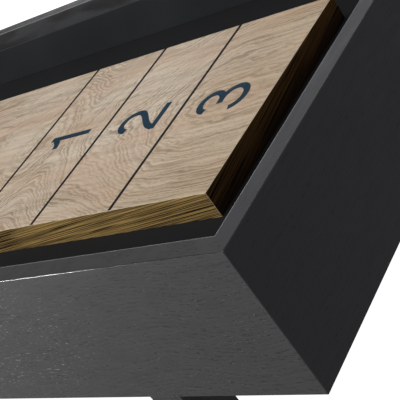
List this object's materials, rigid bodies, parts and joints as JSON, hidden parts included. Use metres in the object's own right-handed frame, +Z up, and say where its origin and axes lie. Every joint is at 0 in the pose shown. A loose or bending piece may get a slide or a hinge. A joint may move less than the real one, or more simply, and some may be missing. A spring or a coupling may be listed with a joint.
{
  "type": "shuffleboard table",
  "caption": "Long narrow table shuffleboard: a mitred wooden cradle with deep gutters round an oak playfield, on post legs with levelling feet.",
  "frame": {"origin": "on the floor under the middle of the table", "axes": "+X along the table, +Y across it from the near side to the far side, +Z up"},
  "size_m": [3.658, 0.772, 0.813],
  "materials": {
    "charcoal_apron": "charcoal paint over open-grained wood, satin",
    "charcoal_liner": "dark charcoal paint, matt",
    "gutter_black": "near-black paint, matt",
    "oak_playing_surface": "pale oak under clear satin lacquer, dark blue printed lines and numbers",
    "oak_side_lipping": "golden brown oak, satin",
    "oak_end_lipping": "dark brown stained oak, satin",
    "glued_hardwood_core": "planed and glued strips",
    "softwood_framing": "planed softwood, bare",
    "charcoal_leg": "charcoal paint over open-grained wood, satin",
    "foot_plastic": "black, moulded",
    "zinc_steel": "bright zinc plating",
    "plated_insert": "yellow zinc plating",
    "screw_steel": "yellow zinc plating",
    "black_steel": "black powder coat"
  },
  "bodies": {
    "table": {"adjuster_brackets": "black_steel", "adjuster_screws": "screw_steel", "angle_bracket_screws": "screw_steel", "angle_brackets": "zinc_steel", "apron_far": "charcoal_apron", "apron_left_end": "charcoal_apron", "apron_near": "charcoal_apron", "apron_right_end": "charcoal_apron", "corner_post_screws": "screw_steel", "corner_posts": "softwood_framing", "cross_member_1": "softwood_framing", "cross_member_2": "softwood_framing", "cross_member_3": "softwood_framing", "cross_member_4": "softwood_framing", "cross_member_5": "softwood_framing", "cross_member_6": "softwood_framing", "end_bearer_left": "softwood_framing", "end_bearer_right": "softwood_framing", "foot_inserts": "plated_insert", "gutter_floor_far": "gutter_black", "gutter_floor_left_end": "gutter_black", "gutter_floor_near": "gutter_black", "gutter_floor_right_end": "gutter_black", "gutter_liner_far": "charcoal_liner", "gutter_liner_left_end": "charcoal_liner", "gutter_liner_near": "charcoal_liner", "gutter_liner_right_end": "charcoal_liner", "ledger_far": "softwood_framing", "ledger_left_end": "softwood_framing", "ledger_near": "softwood_framing", "ledger_right_end": "softwood_framing", "leg_frame_bolts": "zinc_steel", "leg_frame_inserts": "plated_insert", "leg_frame_washers": "zinc_steel", "leg_left_far": "charcoal_leg", "leg_left_near": "charcoal_leg", "leg_right_far": "charcoal_leg", "leg_right_near": "charcoal_leg", "leg_stretcher_left": "charcoal_leg", "leg_stretcher_right": "charcoal_leg", "leg_top_rail_left": "charcoal_leg", "leg_top_rail_right": "charcoal_leg", "playfield_core": "glued_hardwood_core", "playfield_lipping_far": "oak_side_lipping", "playfield_lipping_left_end": "oak_end_lipping", "playfield_lipping_near": "oak_side_lipping", "playfield_lipping_right_end": "oak_end_lipping", "playfield_top_layer": "oak_playing_surface"},
    "foot_pad_left_near": {"foot_pad_left_near": "foot_plastic"},
    "foot_stem_left_near": {"foot_stem_left_near": "zinc_steel"},
    "foot_pad_left_far": {"foot_pad_left_far": "foot_plastic"},
    "foot_stem_left_far": {"foot_stem_left_far": "zinc_steel"},
    "foot_pad_right_near": {"foot_pad_right_near": "foot_plastic"},
    "foot_stem_right_near": {"foot_stem_right_near": "zinc_steel"},
    "foot_pad_right_far": {"foot_pad_right_far": "foot_plastic"},
    "foot_stem_right_far": {"foot_stem_right_far": "zinc_steel"},
    "adjuster_turnbuckle_1": {"adjuster_turnbuckle_1": "zinc_steel"},
    "adjuster_turnbuckle_2": {"adjuster_turnbuckle_2": "zinc_steel"},
    "adjuster_turnbuckle_3": {"adjuster_turnbuckle_3": "zinc_steel"}
  },
  "joints": [
    {"name": "foot_height_left_near", "type": "slide", "parent": "table", "child": "foot_pad_left_near", "axis": [0, 0, 1], "range_m": [0, 0.0145]},
    {"name": "foot_turn_left_near", "type": "hinge", "parent": "foot_pad_left_near", "child": "foot_stem_left_near", "pos_m": [-1.55525, -0.3281, 0.015], "axis": [0, 0, 1], "range_deg": [0, 3480]},
    {"name": "foot_height_left_far", "type": "slide", "parent": "table", "child": "foot_pad_left_far", "axis": [0, 0, 1], "range_m": [0, 0.0145]},
    {"name": "foot_turn_left_far", "type": "hinge", "parent": "foot_pad_left_far", "child": "foot_stem_left_far", "pos_m": [-1.55525, 0.3281, 0.015], "axis": [0, 0, 1], "range_deg": [0, 3480]},
    {"name": "foot_height_right_near", "type": "slide", "parent": "table", "child": "foot_pad_right_near", "axis": [0, 0, 1], "range_m": [0, 0.0145]},
    {"name": "foot_turn_right_near", "type": "hinge", "parent": "foot_pad_right_near", "child": "foot_stem_right_near", "pos_m": [1.55525, -0.3281, 0.015], "axis": [0, 0, 1], "range_deg": [0, 3480]},
    {"name": "foot_height_right_far", "type": "slide", "parent": "table", "child": "foot_pad_right_far", "axis": [0, 0, 1], "range_m": [0, 0.0145]},
    {"name": "foot_turn_right_far", "type": "hinge", "parent": "foot_pad_right_far", "child": "foot_stem_right_far", "pos_m": [1.55525, 0.3281, 0.015], "axis": [0, 0, 1], "range_deg": [0, 3480]},
    {"name": "adjuster_turn_1", "type": "hinge", "parent": "table", "child": "adjuster_turnbuckle_1", "pos_m": [-1.2442, 0, 0.6795], "axis": [0, 1, 0], "range_deg": [-180, 180]},
    {"name": "adjuster_turn_2", "type": "hinge", "parent": "table", "child": "adjuster_turnbuckle_2", "pos_m": [0, 0, 0.6795], "axis": [0, 1, 0], "range_deg": [-180, 180]},
    {"name": "adjuster_turn_3", "type": "hinge", "parent": "table", "child": "adjuster_turnbuckle_3", "pos_m": [1.2442, 0, 0.6795], "axis": [0, 1, 0], "range_deg": [-180, 180]}
  ],
  "couplings": [
    {"joint": "foot_turn_left_near", "follows": "foot_height_left_near", "rad_per_m": 4188.8},
    {"joint": "foot_turn_left_far", "follows": "foot_height_left_far", "rad_per_m": 4188.8},
    {"joint": "foot_turn_right_near", "follows": "foot_height_right_near", "rad_per_m": 4188.8},
    {"joint": "foot_turn_right_far", "follows": "foot_height_right_far", "rad_per_m": 4188.8}
  ]
}
